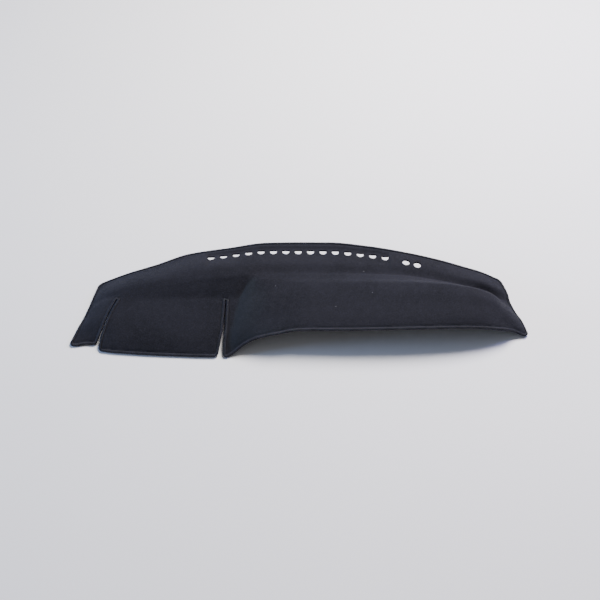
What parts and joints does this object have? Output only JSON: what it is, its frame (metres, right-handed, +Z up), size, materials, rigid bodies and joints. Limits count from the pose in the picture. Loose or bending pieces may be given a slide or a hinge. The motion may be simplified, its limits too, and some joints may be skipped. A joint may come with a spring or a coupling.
{
  "type": "dashboard cover mat",
  "caption": "Moulded carpet cover for the top of a right-hand-drive dashboard, with a drop flap on the passenger side, a raised instrument hood, demister holes and bound edges.",
  "frame": {"origin": "middle of the mat's outline in plan, on the surface that its lowest edge rests on", "axes": "+X towards the driver's side, +Y towards the windscreen, +Z up"},
  "size_m": [1.445, 0.4322, 0.108],
  "materials": {
    "carpet": "matt needle-punched carpet",
    "binding": "overlocked thread",
    "tab": "matt hook tape"
  },
  "bodies": {
    "root": {"carpet": "carpet", "edge_binding": "binding", "grip_tab_1": "tab", "grip_tab_2": "tab", "grip_tab_3": "tab", "grip_tab_4": "tab", "grip_tab_5": "tab", "grip_tab_6": "tab"}
  },
  "joints": []
}
